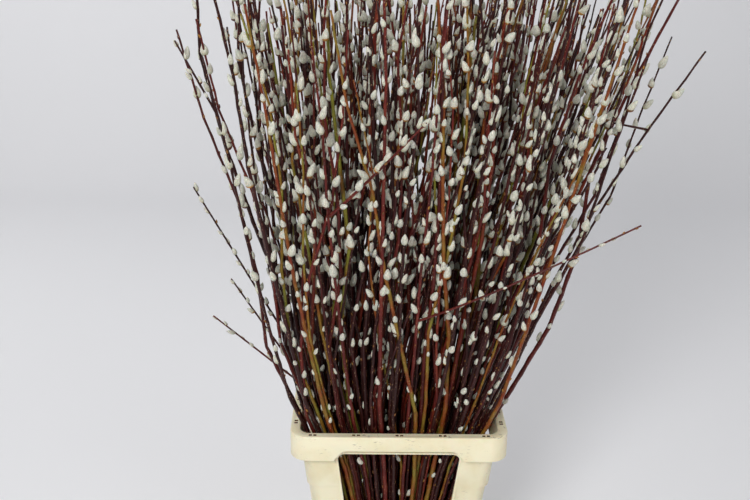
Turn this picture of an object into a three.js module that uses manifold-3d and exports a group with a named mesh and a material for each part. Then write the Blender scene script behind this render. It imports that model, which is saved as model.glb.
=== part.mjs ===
// Cut pussy-willow stems standing in a rectangular plastic flower container.
// Millimetres, +Z up. The origin is the centre of the container's underside, and -Y is the front.
//
// The container is one moulding: a tapered bucket with a window in each wall, and a rim that turns
// outward and then down into a skirt. Each stem is one grown piece: a tapered rod that stands on the
// container's floor, with its catkins and, on some stems, a side shoot.

import * as THREE from "three";
import { mergeVertices } from "three/addons/utils/BufferGeometryUtils.js";
import Module from "manifold-3d";

const wasm = await Module();
wasm.setup();

// ---- Container: driving dimensions ----
const HEIGHT = 385;
const RIM_HALF = { x: 190, y: 150 };
const RIM_RADIUS = 34;
const RIM_CHAMFER = 1.5;
const FLANGE_WIDTH = 17.5;
const WALL = 3;
const FLOOR = 4;
const DRAFT = 0.115; // how far each wall leans out per millimetre of height
const WALL_RADIUS = 22;
const STEP_BELOW_RIM = 113; // a ledge all round the wall, where stacked containers stop
const STEP_DEPTH = 3.5;
const CORNER_SEGMENTS = 4;

const SKIRT_HEIGHT = 46;
const NOTCH_HEIGHT = 19; // how far the skirt's lower edge rises over each window
const WINDOW_BELOW_RIM = 42;
const WINDOW_HEIGHT = 158;
const WINDOW_RADIUS = 13;
const WINDOW_HALF = { x: 108, y: 70 }; // half-widths at the top of the windows
const LIP_WIDTH = 4;
const LIP_PROUD = 1.6;

const SLOT = { along: 5, across: 6, apart: 8 };
const SLOT_PAIRS_PER_SIDE = 5;
const SLOT_PITCH = { x: 75, y: 46 };

// ---- Stems: driving dimensions ----
// The whole lot stands in a grid of feet. The stems modelled here are every second one each way.
const COLUMNS = 15;
const ROWS = 13;
const GRID_STRIDE = 2;
const FOOT_HALF = { x: 76, y: 64 }; // half-size of the grid on the floor
const RIM_PASS_HALF = { x: 165, y: 124 }; // half-size of the grid where it passes the rim
const FAN_POWER = 1.9; // the stems stand upright at the foot and splay at the rim
const FAN_SLOPE = 0.2; // outward slope of the outermost stems, well above the rim
const FAN_EASE = 80; // the height over which the stems straighten up again above the rim
const FAN_HEIGHT = 700; // the height above the rim at which the sways below are measured
const BUNCH_LEAN = 55; // how far the whole bunch leans to the right there
const ROW_SWAY = 36; // how far a whole row strays sideways there
const COLUMN_SWAY = 20; // how far a whole column strays forwards or backwards there
const STEM_SWAY = 16; // how far a stem strays by itself there
const ROW_STAGGER = 0.06; // shift of a row's places, as a share of the bunch's half-width
const COLUMN_STAGGER = 0.04;
const ROW_WAVE = 20; // half-height of the slow wave that a row's stems share above the rim
const COLUMN_WAVE = 10;
const WAVE_LENGTH = { shortest: 520, longest: 820 };
const FOOT_GAP = 0.6;
const INTERNODE = 140; // distance between the bends of a stem
const CROOK = 3; // how far a bend strays from the smooth course, above the rim
const STEM_LENGTH = { shortest: 1010, longest: 1225 };
const FOOT_RADIUS = 4.7;
const TIP_RADIUS = 1.3;
const ROD_SIDES = 5;

const CATKIN_LENGTH = 21;
const CATKIN_WIDTH = 11.5;
const CATKIN_SIDES = 4;
const CATKIN_TILT = 0.3; // radians away from the rod
const CATKINS_PER_STEM = 3;
const CATKINS_FROM = 520;
const CATKINS_TO = 930;
const GOLDEN_ANGLE = Math.PI * (3 - Math.sqrt(5));

const SHOOT_RADIUS = 2.3;
const SHOOT_SIDES = 4;
const SHOOT_STEPS = 3;

// Side shoots that stand clear of the bunch: the stem that each grows from, the height where it
// leaves it, how far its tip lies from there, and how far the shoot bows forward on the way.
const SIDE_SHOOTS = [
  { column: 0, row: 0, height: 960, tip: [-57, -12, 112], bow: 0 },
  { column: 0, row: 2, height: 565, tip: [-141, 0, 251], bow: 0 },
  { column: 0, row: 4, height: 475, tip: [-103, 0, 160], bow: 0 },
  { column: 0, row: 6, height: 400, tip: [-172, 0, 146], bow: 0 },
  { column: 8, row: 0, height: 610, tip: [337, -62, 187], bow: -30 },
  { column: 4, row: 0, height: 800, tip: [145, -62, 163], bow: -26 },
  { column: 14, row: 2, height: 930, tip: [-74, -30, 19], bow: 0 },
  { column: 14, row: 8, height: 700, tip: [92, 6, 150], bow: 0 },
  { column: 14, row: 12, height: 560, tip: [86, 70, 170], bow: 0 },
  { column: 2, row: 12, height: 620, tip: [-88, 96, 190], bow: 24 },
  { column: 10, row: 12, height: 820, tip: [38, 84, 150], bow: 0 },
];
// Stems at the edge of the bunch that bend further outward above a height.
const LEANING_STEMS = [
  { column: 14, row: 2, from: 600, slope: 0.29, top: 1056 },
  { column: 14, row: 10, from: 560, slope: 0.18, top: 1150 },
  { column: 0, row: 10, from: 600, slope: -0.16, top: 1130 },
];
const LEAN_EASE = 120; // the height over which a lean comes in

const CREAM_PLASTIC = new THREE.MeshStandardMaterial({ color: 0xefe6c7, roughness: 0.42, metalness: 0 });
const BARKS = [0x4a1f1c, 0x6b2b20, 0x3a1a1c, 0x5a2420, 0x7d4a22, 0x6c6428].map(
  (color) => new THREE.MeshStandardMaterial({ color, roughness: 0.55, metalness: 0 }),
);

// ---- Solids ----

/** Turns a closed geometry into a solid that can be joined and cut. */
function solidOf(geometry) {
  geometry.deleteAttribute("normal");
  geometry.deleteAttribute("uv");
  const merged = mergeVertices(geometry, 1e-4);
  const corners = merged.index.array;
  const triangles = [];
  for (let i = 0; i < corners.length; i += 3) {
    const [a, b, c] = [corners[i], corners[i + 1], corners[i + 2]];
    if (a !== b && b !== c && c !== a) {
      triangles.push(a, b, c);
    }
  }
  const mesh = new wasm.Mesh({
    numProp: 3,
    vertProperties: new Float32Array(merged.attributes.position.array),
    triVerts: new Uint32Array(triangles),
  });
  return new wasm.Manifold(mesh);
}

/** Turns a solid back into a mesh's geometry. */
function geometryOf(solid) {
  const { vertProperties, triVerts } = solid.getMesh();
  const geometry = new THREE.BufferGeometry();
  geometry.setAttribute("position", new THREE.BufferAttribute(vertProperties, 3));
  geometry.setIndex(new THREE.BufferAttribute(triVerts, 1));
  geometry.computeVertexNormals();
  return geometry;
}

/** Moves each vertex of a geometry to the point that `move` returns for it. */
function mapVertices(geometry, move) {
  const positions = geometry.attributes.position;
  const point = new THREE.Vector3();
  for (let i = 0; i < positions.count; i += 1) {
    point.copy(move(point.fromBufferAttribute(positions, i)));
    positions.setXYZ(i, point.x, point.y, point.z);
  }
  return geometry;
}

// ---- Container ----

/** Half-size of the wall's outer face at a height, on the upper or the lower side of the ledge. */
function wallHalf(height, belowLedge) {
  const inset = FLANGE_WIDTH - WALL + DRAFT * (HEIGHT - height) + (belowLedge ? STEP_DEPTH : 0);
  return { x: RIM_HALF.x - inset, y: RIM_HALF.y - inset };
}

/** An upright block with rounded corners. Its top is wider than its bottom by `flare` on each side. */
function roundedBlock(half, radius, bottom, top, flare = 0) {
  const centre = { x: half.x - radius, y: half.y - radius };
  const outline = new THREE.Shape();
  outline.absarc(centre.x, centre.y, radius, 0, Math.PI / 2);
  outline.absarc(-centre.x, centre.y, radius, Math.PI / 2, Math.PI);
  outline.absarc(-centre.x, -centre.y, radius, Math.PI, 1.5 * Math.PI);
  outline.absarc(centre.x, -centre.y, radius, 1.5 * Math.PI, 2 * Math.PI);
  const block = new THREE.ExtrudeGeometry(outline, {
    depth: top - bottom,
    bevelEnabled: false,
    curveSegments: CORNER_SEGMENTS,
  });
  mapVertices(block, (point) => {
    if (point.z > 0) {
      point.x += Math.sign(point.x) * flare;
      point.y += Math.sign(point.y) * flare;
    }
    return point;
  });
  return solidOf(block.translate(0, 0, bottom));
}

/** The bucket's outer shape, or its inside when `inset` is the wall's thickness. */
function bucketBlock(inset, bottom, ledge, top) {
  const shrink = (half) => ({ x: half.x - inset, y: half.y - inset });
  const lowerHalf = shrink(wallHalf(bottom, true));
  const upperHalf = shrink(wallHalf(ledge, false));
  const radius = WALL_RADIUS - inset;
  const lower = roundedBlock(lowerHalf, radius, bottom, ledge, DRAFT * (ledge - bottom));
  const upper = roundedBlock(upperHalf, radius, ledge, top, DRAFT * (top - ledge));
  return lower.add(upper);
}

/** A closed outline with each corner rounded by about `radius`. */
function roundedOutline(corners, radius) {
  const outline = new THREE.Shape();
  corners.forEach(([x, y], i) => {
    const corner = new THREE.Vector2(x, y);
    const before = new THREE.Vector2(...corners[(i + corners.length - 1) % corners.length]);
    const after = new THREE.Vector2(...corners[(i + 1) % corners.length]);
    const arrive = before.sub(corner).setLength(radius).add(corner);
    const leave = after.sub(corner).setLength(radius).add(corner);
    if (i === 0) {
      outline.moveTo(arrive.x, arrive.y);
    } else {
      outline.lineTo(arrive.x, arrive.y);
    }
    outline.quadraticCurveTo(corner.x, corner.y, leave.x, leave.y);
  });
  outline.closePath();
  return outline;
}

/** A window's outline, with its middle axis at x = 0 and y as the height, grown by `grow` all round. */
function windowOutline(topHalf, grow) {
  const top = HEIGHT - WINDOW_BELOW_RIM;
  const bottom = top - WINDOW_HEIGHT;
  const bottomHalf = topHalf - DRAFT * WINDOW_HEIGHT;
  return roundedOutline(
    [
      [topHalf + grow, top + grow],
      [-topHalf - grow, top + grow],
      [-bottomHalf - grow, bottom - grow],
      [bottomHalf + grow, bottom - grow],
    ],
    WINDOW_RADIUS,
  );
}

/** The outline of the notch that lifts the skirt's lower edge over a window. */
function notchOutline(topHalf) {
  const skirtBottom = HEIGHT - SKIRT_HEIGHT;
  const top = skirtBottom + NOTCH_HEIGHT;
  const narrow = topHalf - 10;
  const wide = topHalf + 7;
  return roundedOutline(
    [
      [narrow, top],
      [-narrow, top],
      [-wide, skirtBottom],
      [-wide, skirtBottom - 20],
      [wide, skirtBottom - 20],
      [wide, skirtBottom],
    ],
    7,
  );
}

/** An upright outline as a slab, from `near` to `far` along the front wall's outward direction. */
function frontSlab(outline, near, far) {
  const slab = new THREE.ExtrudeGeometry(outline, {
    depth: far - near,
    bevelEnabled: false,
    curveSegments: 3,
  });
  slab.rotateX(Math.PI / 2);
  slab.translate(0, -near, 0);
  return slab;
}

/** The raised lip round a window, leaning with the wall that it stands on. */
function lipSolid(topHalf, outwardHalf, turn) {
  const middle = HEIGHT - WINDOW_BELOW_RIM;
  const thickness = 2 * STEP_DEPTH;
  const lip = frontSlab(windowOutline(topHalf, LIP_WIDTH), LIP_PROUD - thickness, LIP_PROUD);
  lip.translate(0, 0, -middle);
  lip.rotateX(Math.atan(DRAFT));
  lip.translate(0, -outwardHalf, middle);
  return solidOf(lip.rotateZ(turn));
}

/** The pairs of slots through the rim's flat top, as one solid to cut away. */
function rimSlots() {
  const boxes = [];
  const channel = FLANGE_WIDTH / 2;
  for (let pair = 0; pair < SLOT_PAIRS_PER_SIDE; pair += 1) {
    const place = pair - (SLOT_PAIRS_PER_SIDE - 1) / 2;
    for (const side of [-1, 1]) {
      for (const partner of [-0.5, 0.5]) {
        const long = new THREE.BoxGeometry(SLOT.along, SLOT.across, 4 * WALL);
        long.translate(place * SLOT_PITCH.x + partner * SLOT.apart, side * (RIM_HALF.y - channel), HEIGHT);
        const short = new THREE.BoxGeometry(SLOT.across, SLOT.along, 4 * WALL);
        short.translate(side * (RIM_HALF.x - channel), place * SLOT_PITCH.y + partner * SLOT.apart, HEIGHT);
        boxes.push(solidOf(long), solidOf(short));
      }
    }
  }
  return boxes.reduce((all, box) => all.add(box));
}

/** The rim: a flat flange round the mouth and the skirt that hangs from its outer edge. */
function rimSolid() {
  const skirtBottom = HEIGHT - SKIRT_HEIGHT;
  const chamferBottom = HEIGHT - RIM_CHAMFER;
  const body = roundedBlock(RIM_HALF, RIM_RADIUS, skirtBottom, chamferBottom);
  const edge = roundedBlock(RIM_HALF, RIM_RADIUS, chamferBottom, HEIGHT, -RIM_CHAMFER);
  const channelHalf = { x: RIM_HALF.x - WALL, y: RIM_HALF.y - WALL };
  const channel = roundedBlock(channelHalf, RIM_RADIUS - WALL, skirtBottom - 1, HEIGHT - WALL);
  let rim = body.add(edge).subtract(channel);
  for (const [turn, topHalf, reach] of [
    [0, WINDOW_HALF.x, RIM_HALF.y],
    [Math.PI / 2, WINDOW_HALF.y, RIM_HALF.x],
  ]) {
    for (const flip of [0, Math.PI]) {
      const notch = frontSlab(notchOutline(topHalf), reach - 2 * WALL, reach + WALL);
      rim = rim.subtract(solidOf(notch.rotateZ(turn + flip)));
    }
  }
  return rim;
}

function makeContainer() {
  const ledge = HEIGHT - STEP_BELOW_RIM;
  let body = bucketBlock(0, 0, ledge, HEIGHT).add(rimSolid());
  const upperTopHalf = wallHalf(HEIGHT - WINDOW_BELOW_RIM, false);
  for (const flip of [0, Math.PI]) {
    body = body.add(lipSolid(WINDOW_HALF.x, upperTopHalf.y, flip));
    body = body.add(lipSolid(WINDOW_HALF.y, upperTopHalf.x, flip + Math.PI / 2));
  }
  body = body.subtract(bucketBlock(WALL, FLOOR, ledge + WALL, HEIGHT + 1));
  const reach = RIM_HALF.x + WALL;
  const longWindows = frontSlab(windowOutline(WINDOW_HALF.x, 0), -reach, reach);
  const shortWindows = frontSlab(windowOutline(WINDOW_HALF.y, 0), -reach, reach).rotateZ(Math.PI / 2);
  body = body.subtract(solidOf(longWindows)).subtract(solidOf(shortWindows)).subtract(rimSlots());
  const container = new THREE.Mesh(geometryOf(body), CREAM_PLASTIC);
  container.name = "container";
  return container;
}

// ---- Stems ----

/** A repeatable fraction from 0 to 1 for a numbered thing and a numbered property of it. */
function chance(thing, property) {
  const wave = Math.sin(thing * 12.9898 + property * 78.233) * 43758.5453;
  return wave - Math.floor(wave);
}

/** A repeatable number from -1 to 1. */
function vary(thing, property) {
  return 2 * chance(thing, property) - 1;
}

/** Half-width of the bunch at a height, along one axis. */
function spread(height, axis) {
  const foot = FOOT_HALF[axis];
  const pass = RIM_PASS_HALF[axis];
  if (height < HEIGHT) {
    return foot + (pass - foot) * (height / HEIGHT) ** FAN_POWER;
  }
  const above = height - HEIGHT;
  const slopeAtRim = (FAN_POWER * (pass - foot)) / HEIGHT;
  const bulge = (slopeAtRim - FAN_SLOPE) * FAN_EASE * (1 - Math.exp(-above / FAN_EASE));
  return pass + FAN_SLOPE * above + bulge;
}

/** How much of a sway shows at a height: none up to the rim. */
function swayShare(height) {
  return Math.max(0, height - HEIGHT) / FAN_HEIGHT;
}

/** A place from -1 to 1 in the grid, shifted so that the ends stay within those limits. */
function staggered(place, shift) {
  return place * (1 - Math.abs(shift)) + shift;
}

/** A slow wave above the rim, different for each numbered row or column. */
function waveAt(height, thing, property) {
  const above = Math.max(0, height - HEIGHT);
  const length = THREE.MathUtils.lerp(WAVE_LENGTH.shortest, WAVE_LENGTH.longest, chance(thing, property));
  return vary(thing, property + 1) * Math.sin((2 * Math.PI * above) / length);
}

/** How far a leaning stem strays sideways from the fan at a height. */
function leanAt(height, { from, slope }) {
  const above = Math.max(0, height - from);
  return (slope * above ** 2) / (above + LEAN_EASE);
}

/** The centre line of one stem of the lot, by its place in the grid. */
class StemLine {
  constructor(column, row) {
    this.seed = row * COLUMNS + column;
    this.column = column;
    this.row = row;
    this.across = staggered((2 * column) / (COLUMNS - 1) - 1, ROW_STAGGER * vary(row, 5));
    this.deep = staggered((2 * row) / (ROWS - 1) - 1, COLUMN_STAGGER * vary(column, 6));
    this.lean = LEANING_STEMS.find((lean) => lean.column === column && lean.row === row);
    const { shortest, longest } = STEM_LENGTH;
    this.top = this.lean?.top ?? THREE.MathUtils.lerp(shortest, longest, chance(this.seed, 1));
  }

  /** The smooth path that the stem follows, without its small crooks. */
  course(height) {
    const swayX = BUNCH_LEAN + ROW_SWAY * vary(this.row, 2) + STEM_SWAY * vary(this.seed, 8);
    const swayY = COLUMN_SWAY * vary(this.column, 3) + STEM_SWAY * vary(this.seed, 9);
    const waveX = ROW_WAVE * waveAt(height, this.row, 11);
    const waveY = COLUMN_WAVE * waveAt(height, this.column, 13);
    const share = swayShare(height);
    const x = this.across * spread(height, "x") + swayX * share + waveX;
    const y = this.deep * spread(height, "y") + swayY * share + waveY;
    return new THREE.Vector3(this.lean ? x + leanAt(height, this.lean) : x, y, height);
  }

  /** The bends of the stem from the foot to the tip. */
  knots() {
    const foot = FLOOR + FOOT_GAP;
    const count = Math.round((this.top - foot) / INTERNODE);
    const points = [];
    for (let i = 0; i <= count; i += 1) {
      const point = this.course(THREE.MathUtils.lerp(foot, this.top, i / count));
      const crook = point.z < HEIGHT ? 0 : CROOK;
      point.x += crook * vary(this.seed, 10 + i);
      point.y += crook * vary(this.seed, 40 + i);
      points.push(point);
    }
    return points;
  }

  radiusAt(height) {
    const thickness = 1 + 0.12 * vary(this.seed, 4);
    return thickness * THREE.MathUtils.lerp(FOOT_RADIUS, TIP_RADIUS, height / this.top);
  }
}

/** The point at a height on a line of rising knots, and the line's direction there. */
function pointOnKnots(knots, height) {
  const i = knots.findIndex((knot, k) => k > 0 && knot.z >= height);
  const [below, above] = [knots[i - 1], knots[i]];
  const share = (height - below.z) / (above.z - below.z);
  return {
    point: below.clone().lerp(above, share),
    direction: above.clone().sub(below).normalize(),
  };
}

/** A tapered rod whose middle runs through `points`, with a radius for each point. */
function rodSolid(points, radii, sides) {
  const profile = radii.map((radius, i) => new THREE.Vector2(radius, i));
  const ends = [new THREE.Vector2(0, 0), new THREE.Vector2(0, points.length - 1)];
  const rod = new THREE.LatheGeometry([ends[0], ...profile, ends[1]], sides).rotateX(Math.PI / 2);
  const frames = points.map((point, i) => {
    const before = points[Math.max(i - 1, 0)];
    const after = points[Math.min(i + 1, points.length - 1)];
    const along = after.clone().sub(before).normalize();
    const right = new THREE.Vector3(0, 1, 0).cross(along).normalize();
    return { right, back: along.clone().cross(right) };
  });
  mapVertices(rod, (corner) => {
    const i = Math.round(corner.z);
    const { right, back } = frames[i];
    return points[i].clone().addScaledVector(right, corner.x).addScaledVector(back, corner.y);
  });
  return solidOf(rod);
}

/** One catkin: a blunt spindle that grows from `root` along `direction`. */
function catkinSolid(root, direction, size) {
  const length = CATKIN_LENGTH * size;
  const radius = (CATKIN_WIDTH / 2) * size;
  const profile = [
    new THREE.Vector2(0, 0),
    new THREE.Vector2(radius, 0.36 * length),
    new THREE.Vector2(0.62 * radius, 0.78 * length),
    new THREE.Vector2(0, length),
  ];
  const spindle = new THREE.LatheGeometry(profile, CATKIN_SIDES);
  const turn = new THREE.Quaternion().setFromUnitVectors(new THREE.Vector3(0, 1, 0), direction);
  return solidOf(spindle.applyQuaternion(turn).translate(root.x, root.y, root.z));
}

/** The catkins of a stem, at even heights and turned by the golden angle from one to the next. */
function catkinSolids(line, knots) {
  const solids = [];
  for (let i = 0; i < CATKINS_PER_STEM; i += 1) {
    const share = (i + 0.5 * chance(line.seed, 5)) / (CATKINS_PER_STEM - 1);
    const height = THREE.MathUtils.lerp(CATKINS_FROM, CATKINS_TO, share);
    const { point, direction } = pointOnKnots(knots, Math.min(height, line.top - 10));
    const angle = i * GOLDEN_ANGLE + 2 * Math.PI * chance(line.seed, 6);
    const outward = new THREE.Vector3(Math.cos(angle), Math.sin(angle), 0);
    const root = point.clone().addScaledVector(outward, 0.45 * line.radiusAt(height));
    const heading = direction.clone().addScaledVector(outward, Math.tan(CATKIN_TILT)).normalize();
    solids.push(catkinSolid(root, heading, 0.9 + 0.2 * chance(line.seed, 20 + i)));
  }
  return solids;
}

/** A side shoot that leaves the stem at a height and thins towards its tip. */
function shootSolid(line, knots, shoot) {
  const { point: start } = pointOnKnots(knots, shoot.height);
  const tip = start.clone().add(new THREE.Vector3(...shoot.tip));
  const elbow = start.clone().lerp(tip, 0.3).add(new THREE.Vector3(0, shoot.bow, 0));
  const points = new THREE.QuadraticBezierCurve3(start, elbow, tip).getPoints(SHOOT_STEPS);
  const widest = Math.min(SHOOT_RADIUS, 0.8 * line.radiusAt(shoot.height));
  const radii = points.map((_, i) => THREE.MathUtils.lerp(widest, 1, i / SHOOT_STEPS));
  return rodSolid(points, radii, SHOOT_SIDES);
}

function makeStem(column, row, number) {
  const line = new StemLine(column, row);
  const knots = line.knots();
  const radii = knots.map((knot) => line.radiusAt(knot.z));
  const shoots = SIDE_SHOOTS.filter((shoot) => shoot.column === column && shoot.row === row);
  let body = rodSolid(knots, radii, ROD_SIDES);
  for (const catkin of catkinSolids(line, knots)) {
    body = body.add(catkin);
  }
  for (const shoot of shoots) {
    body = body.add(shootSolid(line, knots, shoot));
  }
  const bark = BARKS[Math.floor(BARKS.length * chance(line.seed, 7))];
  const stem = new THREE.Mesh(geometryOf(body), bark);
  stem.name = `stem_${String(number).padStart(2, "0")}`;
  return stem;
}

// ---- The object ----
const willow = new THREE.Group();
willow.add(makeContainer());
let number = 0;
for (let row = 0; row < ROWS; row += GRID_STRIDE) {
  for (let column = 0; column < COLUMNS; column += GRID_STRIDE) {
    number += 1;
    willow.add(makeStem(column, row, number));
  }
}

export default willow;
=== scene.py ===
"""Cut pussy-willow stems standing in a cream flower container, dressed for rendering.

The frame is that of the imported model: +Z up, -Y the front, and the origin under the middle of
the container. Lengths are in metres, and those that are easier to read in millimetres are
written as a number times MM. The classes for the lines of the stems keep plain millimetres, as
they say, and turn them into metres where they make a mesh.
"""

import logging
import math
from collections.abc import Callable, Iterable
from dataclasses import dataclass, field
from enum import Enum, IntEnum
from functools import cached_property

import bmesh
import bpy
from bmesh.types import BMEdge, BMesh, BMVert
from mathutils import Euler, Matrix, Vector


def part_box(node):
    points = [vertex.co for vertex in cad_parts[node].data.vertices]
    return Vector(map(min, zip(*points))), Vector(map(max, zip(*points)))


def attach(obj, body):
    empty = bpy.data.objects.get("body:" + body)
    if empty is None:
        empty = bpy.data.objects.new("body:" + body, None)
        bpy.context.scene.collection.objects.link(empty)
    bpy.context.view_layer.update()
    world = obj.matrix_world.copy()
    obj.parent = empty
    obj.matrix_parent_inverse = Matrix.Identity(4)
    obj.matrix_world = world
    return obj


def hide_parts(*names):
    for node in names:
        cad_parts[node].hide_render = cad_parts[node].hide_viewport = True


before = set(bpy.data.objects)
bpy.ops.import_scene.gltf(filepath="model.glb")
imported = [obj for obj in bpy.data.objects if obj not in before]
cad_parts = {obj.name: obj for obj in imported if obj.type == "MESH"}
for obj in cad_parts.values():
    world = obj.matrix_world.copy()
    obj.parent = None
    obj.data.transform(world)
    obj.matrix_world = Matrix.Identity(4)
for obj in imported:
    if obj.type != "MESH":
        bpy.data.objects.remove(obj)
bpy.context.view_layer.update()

MM = 0.001
GOLDEN_ANGLE = math.pi * (3 - math.sqrt(5))
# The vertex layers that carry a stem's shade and the place along a rod or catkin.
TONE = "tone"
ALONG = "along"
# The middle of a quarter round, measured in from each of its two sides as a share of its radius.
MID_ROUND = 0.3
# Offsets that keep the numbers of slim stems, side shoots and catkins apart.
HALF_ROW_SEED = 1000
SHOOT_SEED = 500
SEED_STEP = 1000

log = logging.getLogger("willow")


class Slot(Enum):
    """The record's material slots."""

    CONTAINER = "container_plastic"
    STEM = "willow_stem"


class Cover(Enum):
    """The finishes of a stem, by their place in its list of materials."""

    BARK = 0
    FUR = 1
    SCALE = 2
    WOOD = 3


class Trait(IntEnum):
    """The numbered traits that tell one repeatable number of a thing from the next.

    Some traits share a number, which ties them together where they belong to the same thing.
    The two waves also use the number after their own, and the crooks one number for each bend.
    """

    TOP = 1
    ROW_SWAY = 2
    COLUMN_SWAY = 3
    THICKNESS = 4
    ROW_STAGGER = 5
    COLUMN_STAGGER = 6
    FIRST_TURN = 6
    SHADE = 7
    SWAY_X = 8
    NODE_SPACING = 8
    SWAY_Y = 9
    CUT_TIP = 9
    CROOK_X = 10
    ROW_WAVE = 11
    COLUMN_WAVE = 13
    WEAVE_LENGTH = 14
    WEAVE_X = 15
    STRAY_X = 16
    WEAVE_Y = 17
    STRAY_Y = 18
    ROGUE = 19
    ROGUE_REACH = 20
    INNER_BOW_X = 21
    INNER_BOW_Y = 22
    PLUMPNESS = 31
    STRETCH = 32
    SCALE = 33
    CATKIN = 34
    CATKIN_SIZE = 35
    CATKIN_TILT = 36
    BUD = 37
    BUD_SIZE = 38
    CROOK_Y = 40


# ---- Small helpers ----


def chance(thing: float, trait: int) -> float:
    """Gives a repeatable fraction for a numbered thing and a numbered trait of it.

    Args:
        thing: The number of the stem, catkin, row or column.
        trait: The number of the trait.

    Returns:
        A fraction from 0 to 1.
    """
    wave = math.sin(thing * 12.9898 + trait * 78.233) * 43758.5453
    return wave - math.floor(wave)


def vary(thing: float, trait: int) -> float:
    """Gives a repeatable number for a thing and a trait.

    Args:
        thing: The number of the stem, catkin, row or column.
        trait: The number of the trait.

    Returns:
        A number from -1 to 1.
    """
    return 2 * chance(thing, trait) - 1


def blend(low: float, high: float, share: float) -> float:
    """Goes from one number to another.

    Args:
        low: The number at share 0.
        high: The number at share 1.
        share: How far to go.

    Returns:
        The number at that share.
    """
    return low + (high - low) * share


def linear(hex_colour: str) -> tuple[float, float, float, float]:
    """Turns an sRGB colour into the linear one that shaders use.

    Args:
        hex_colour: The colour as "#rrggbb".

    Returns:
        Linear red, green, blue and an alpha of 1.
    """
    parts = [int(hex_colour[i : i + 2], 16) / 255 for i in (1, 3, 5)]
    red, green, blue = (v / 12.92 if v <= 0.04045 else ((v + 0.055) / 1.055) ** 2.4 for v in parts)
    return red, green, blue, 1.0


def add_node(
    tree: bpy.types.NodeTree, kind: str, inputs: dict | None = None, **settings: object
) -> bpy.types.Node:
    """Adds a shader node with its settings and links.

    Args:
        tree: The material's node tree.
        kind: The node's type name.
        inputs: For each input, by name or number, a value or the output that feeds it.
        settings: Properties to set on the node. "stops" fills a colour ramp with
            (position, colour) pairs.

    Returns:
        The new node.
    """
    node = tree.nodes.new(kind)
    for name, value in settings.items():
        if name != "stops":
            setattr(node, name, value)
            continue
        elements = node.color_ramp.elements
        while len(elements) < len(value):
            elements.new(0.5)
        for element, (position, colour) in zip(elements, value, strict=True):
            element.position = position
            element.color = linear(colour)
    for name, value in (inputs or {}).items():
        if isinstance(value, bpy.types.NodeSocket):
            tree.links.new(value, node.inputs[name])
        else:
            node.inputs[name].default_value = value
    return node


def push_ring(shape: BMesh, edges: list[BMEdge]) -> tuple[list[BMVert], list[BMEdge]]:
    """Extrudes a ring of edges by nothing, so that the new ring can be placed.

    Args:
        shape: The mesh that the ring is in.
        edges: The ring's edges.

    Returns:
        The new ring's vertices and edges.
    """
    pushed = bmesh.ops.extrude_edge_only(shape, edges=edges)["geom"]
    verts = [item for item in pushed if isinstance(item, BMVert)]
    fresh = set(verts)
    ring = [item for item in pushed if isinstance(item, BMEdge) and fresh.issuperset(item.verts)]
    return verts, ring


def new_material(name: str) -> tuple[bpy.types.Material, bpy.types.NodeTree]:
    """Makes an empty node material.

    Args:
        name: The material's name.

    Returns:
        The material and its node tree.
    """
    material = bpy.data.materials.new(name)
    material.use_nodes = True
    material.node_tree.nodes.clear()
    return material, material.node_tree


# ---- Finishes ----


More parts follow.
